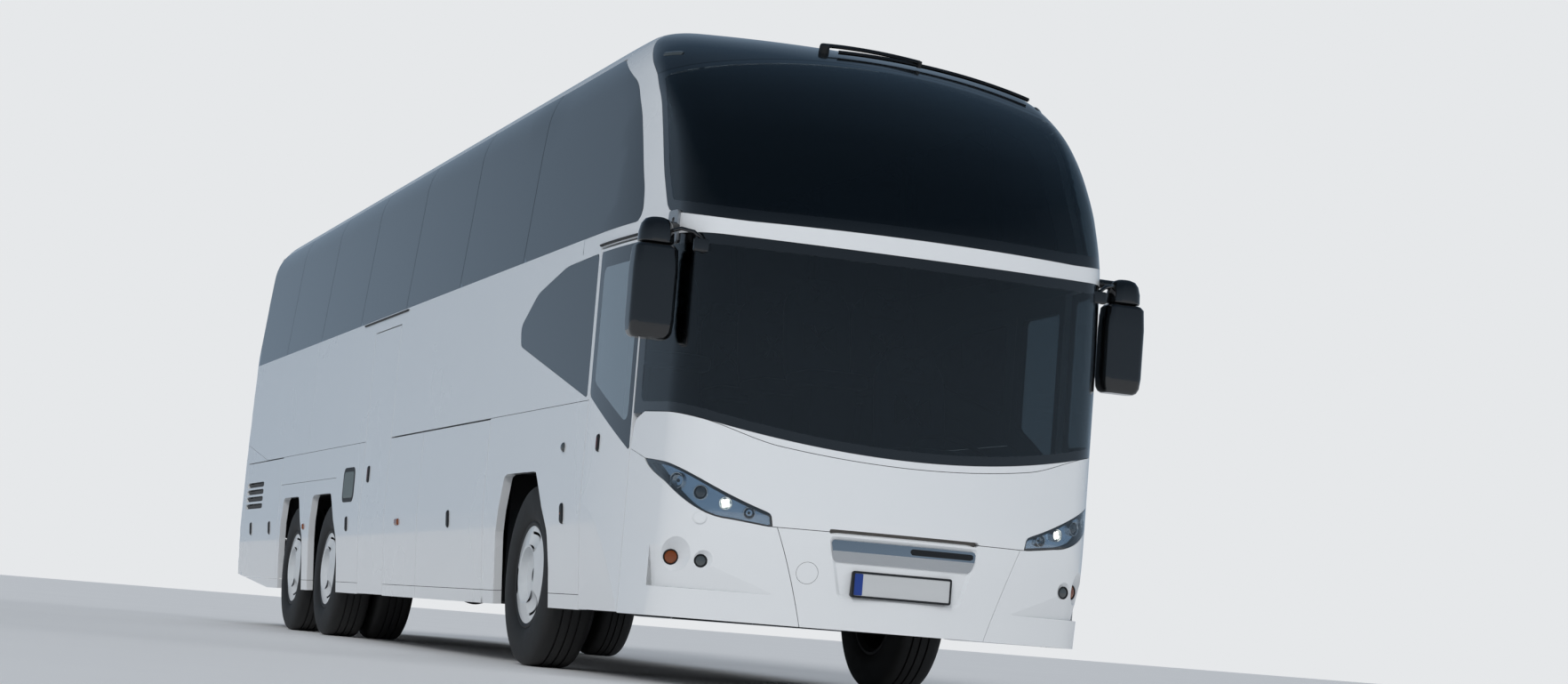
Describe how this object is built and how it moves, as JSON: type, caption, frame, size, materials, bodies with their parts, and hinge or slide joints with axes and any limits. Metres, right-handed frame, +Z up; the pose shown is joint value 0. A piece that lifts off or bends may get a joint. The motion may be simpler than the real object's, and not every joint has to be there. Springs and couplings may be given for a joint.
{
  "type": "touring coach",
  "caption": "High-floor three-axle touring coach with dark glass bands, outward-swinging doors, hinged luggage flaps, steered front wheels and a twin-tyred driven axle.",
  "frame": {"origin": "on the ground, under the middle of the vehicle's overall box", "axes": "+Y towards the rear, -Y is forward, +Z up, -X is the right-hand side with the doors"},
  "size_m": [2.89, 12.9898, 3.8],
  "materials": {
    "coach_paint": "gloss white enamel",
    "wheel_enamel": "white enamel over pressed steel",
    "tyre_rubber": "matte black",
    "clear_glass": "lightly tinted",
    "dark_glass": "dark tinted",
    "lamp_glass": "clear lens over bright reflectors",
    "red_glass": "red lens",
    "black_gloss": "gloss black",
    "axle_steel": "black painted",
    "arm_steel": "satin",
    "seat_fabric": "woven",
    "dark_plastic": "matte dark grey"
  },
  "bodies": {
    "coach_body": {"axles": "axle_steel", "dashboard": "dark_plastic", "driver_seat": "seat_fabric", "engine": "axle_steel", "floor": "dark_plastic", "front_bumper": "coach_paint", "front_fascia": "black_gloss", "front_hoop": "coach_paint", "front_lamps": "lamp_glass", "front_mask": "coach_paint", "front_rails": "axle_steel", "mirrors": "black_gloss", "passenger_seats": "seat_fabric", "rear_bumper": "coach_paint", "rear_glass": "dark_glass", "rear_rails": "axle_steel", "rear_wall": "coach_paint", "roof_panel": "coach_paint", "roof_unit": "coach_paint", "side_glass": "dark_glass", "side_wall_left": "coach_paint", "side_wall_right": "coach_paint", "steering_wheel": "dark_plastic", "tail_lamps": "red_glass", "underfloor": "dark_plastic", "wheel_housings": "dark_plastic", "windscreen_lower": "clear_glass", "windscreen_upper": "clear_glass"},
    "front_door_arms": {"front_door_arms": "arm_steel"},
    "front_door": {"front_door": "coach_paint", "front_door_glass": "clear_glass"},
    "mid_door_arms": {"mid_door_arms": "arm_steel"},
    "mid_door": {"mid_door": "coach_paint"},
    "luggage_flap_right_front": {"luggage_flap_right_front": "coach_paint"},
    "luggage_flap_right_rear": {"luggage_flap_right_rear": "coach_paint"},
    "luggage_flap_left_front": {"luggage_flap_left_front": "coach_paint"},
    "luggage_flap_left_rear": {"luggage_flap_left_rear": "coach_paint"},
    "rear_flap_right": {"rear_flap_right": "coach_paint"},
    "rear_flap_left": {"rear_flap_left": "coach_paint"},
    "engine_lid": {"engine_lid": "coach_paint"},
    "knuckle_left": {"knuckle_left": "axle_steel"},
    "knuckle_right": {"knuckle_right": "axle_steel"},
    "tie_rod": {"tie_rod": "axle_steel"},
    "wheel_set_front_left": {"wheel_front_left": "wheel_enamel", "tyre_front_left": "tyre_rubber"},
    "wheel_set_front_right": {"wheel_front_right": "wheel_enamel", "tyre_front_right": "tyre_rubber"},
    "wheel_set_drive_left": {"wheel_drive_left": "wheel_enamel", "tyre_drive_left": "tyre_rubber"},
    "wheel_set_drive_right": {"wheel_drive_right": "wheel_enamel", "tyre_drive_right": "tyre_rubber"},
    "wheel_set_tag_left": {"wheel_tag_left": "wheel_enamel", "tyre_tag_left": "tyre_rubber"},
    "wheel_set_tag_right": {"wheel_tag_right": "wheel_enamel", "tyre_tag_right": "tyre_rubber"}
  },
  "joints": [
    {"name": "steer_left", "type": "hinge", "parent": "coach_body", "child": "knuckle_left", "pos_m": [0.9, -3.815, 0.522], "axis": [0, 0, 1], "range_deg": [-42, 42]},
    {"name": "steer_right", "type": "hinge", "parent": "coach_body", "child": "knuckle_right", "pos_m": [-0.9, -3.815, 0.522], "axis": [0, 0, 1], "range_deg": [-42, 42]},
    {"name": "tie_rod_pivot", "type": "hinge", "parent": "knuckle_left", "child": "tie_rod", "pos_m": [0.9, -3.57, 0.385], "axis": [0, 0, 1], "range_deg": [-42, 42]},
    {"name": "roll_front_left", "type": "hinge", "parent": "knuckle_left", "child": "wheel_set_front_left", "pos_m": [1.0775, -3.815, 0.522], "axis": [1, 0, 0], "continuous": true},
    {"name": "roll_front_right", "type": "hinge", "parent": "knuckle_right", "child": "wheel_set_front_right", "pos_m": [-1.0775, -3.815, 0.522], "axis": [1, 0, 0], "continuous": true},
    {"name": "roll_drive_left", "type": "hinge", "parent": "coach_body", "child": "wheel_set_drive_left", "pos_m": [1.0775, 2.245, 0.522], "axis": [1, 0, 0], "continuous": true},
    {"name": "roll_drive_right", "type": "hinge", "parent": "coach_body", "child": "wheel_set_drive_right", "pos_m": [-1.0775, 2.245, 0.522], "axis": [1, 0, 0], "continuous": true},
    {"name": "roll_tag_left", "type": "hinge", "parent": "coach_body", "child": "wheel_set_tag_left", "pos_m": [1.0775, 3.715, 0.522], "axis": [1, 0, 0], "continuous": true},
    {"name": "roll_tag_right", "type": "hinge", "parent": "coach_body", "child": "wheel_set_tag_right", "pos_m": [-1.0775, 3.715, 0.522], "axis": [1, 0, 0], "continuous": true},
    {"name": "front_door_swing", "type": "hinge", "parent": "coach_body", "child": "front_door_arms", "pos_m": [-1.085, -5.45, 1], "axis": [0, 0, 1], "range_deg": [0, 140]},
    {"name": "front_door_pivot", "type": "hinge", "parent": "front_door_arms", "child": "front_door", "pos_m": [-1.0557, -5.03102, 1], "axis": [0, 0, 1], "range_deg": [-140, 0]},
    {"name": "mid_door_swing", "type": "hinge", "parent": "coach_body", "child": "mid_door_arms", "pos_m": [-1.085, 0.66, 1], "axis": [0, 0, -1], "range_deg": [0, 140]},
    {"name": "mid_door_pivot", "type": "hinge", "parent": "mid_door_arms", "child": "mid_door", "pos_m": [-1.04873, 0.14127, 1], "axis": [0, 0, -1], "range_deg": [-140, 0]},
    {"name": "luggage_flap_right_front_hinge", "type": "hinge", "parent": "coach_body", "child": "luggage_flap_right_front", "pos_m": [-1.275, -1.95, 1.462], "axis": [0, 1, 0], "range_deg": [0, 100]},
    {"name": "luggage_flap_right_rear_hinge", "type": "hinge", "parent": "coach_body", "child": "luggage_flap_right_rear", "pos_m": [-1.275, -0.52, 1.462], "axis": [0, 1, 0], "range_deg": [0, 100]},
    {"name": "luggage_flap_left_front_hinge", "type": "hinge", "parent": "coach_body", "child": "luggage_flap_left_front", "pos_m": [1.275, -1.95, 1.462], "axis": [0, -1, 0], "range_deg": [0, 100]},
    {"name": "luggage_flap_left_rear_hinge", "type": "hinge", "parent": "coach_body", "child": "luggage_flap_left_rear", "pos_m": [1.275, -0.14, 1.462], "axis": [0, -1, 0], "range_deg": [0, 100]},
    {"name": "rear_flap_right_hinge", "type": "hinge", "parent": "coach_body", "child": "rear_flap_right", "pos_m": [-1.275, 5.26, 1.462], "axis": [0, 1, 0], "range_deg": [0, 100]},
    {"name": "rear_flap_left_hinge", "type": "hinge", "parent": "coach_body", "child": "rear_flap_left", "pos_m": [1.275, 5.26, 1.462], "axis": [0, -1, 0], "range_deg": [0, 100]},
    {"name": "engine_lid_hinge", "type": "hinge", "parent": "coach_body", "child": "engine_lid", "pos_m": [0, 6.43173, 2.05], "axis": [1, 0, 0], "range_deg": [0, 85]}
  ],
  "couplings": [
    {"joint": "steer_right", "follows": "steer_left", "ratio": 1},
    {"joint": "tie_rod_pivot", "follows": "steer_left", "ratio": -1},
    {"joint": "front_door_pivot", "follows": "front_door_swing", "ratio": -1},
    {"joint": "mid_door_pivot", "follows": "mid_door_swing", "ratio": -1}
  ]
}
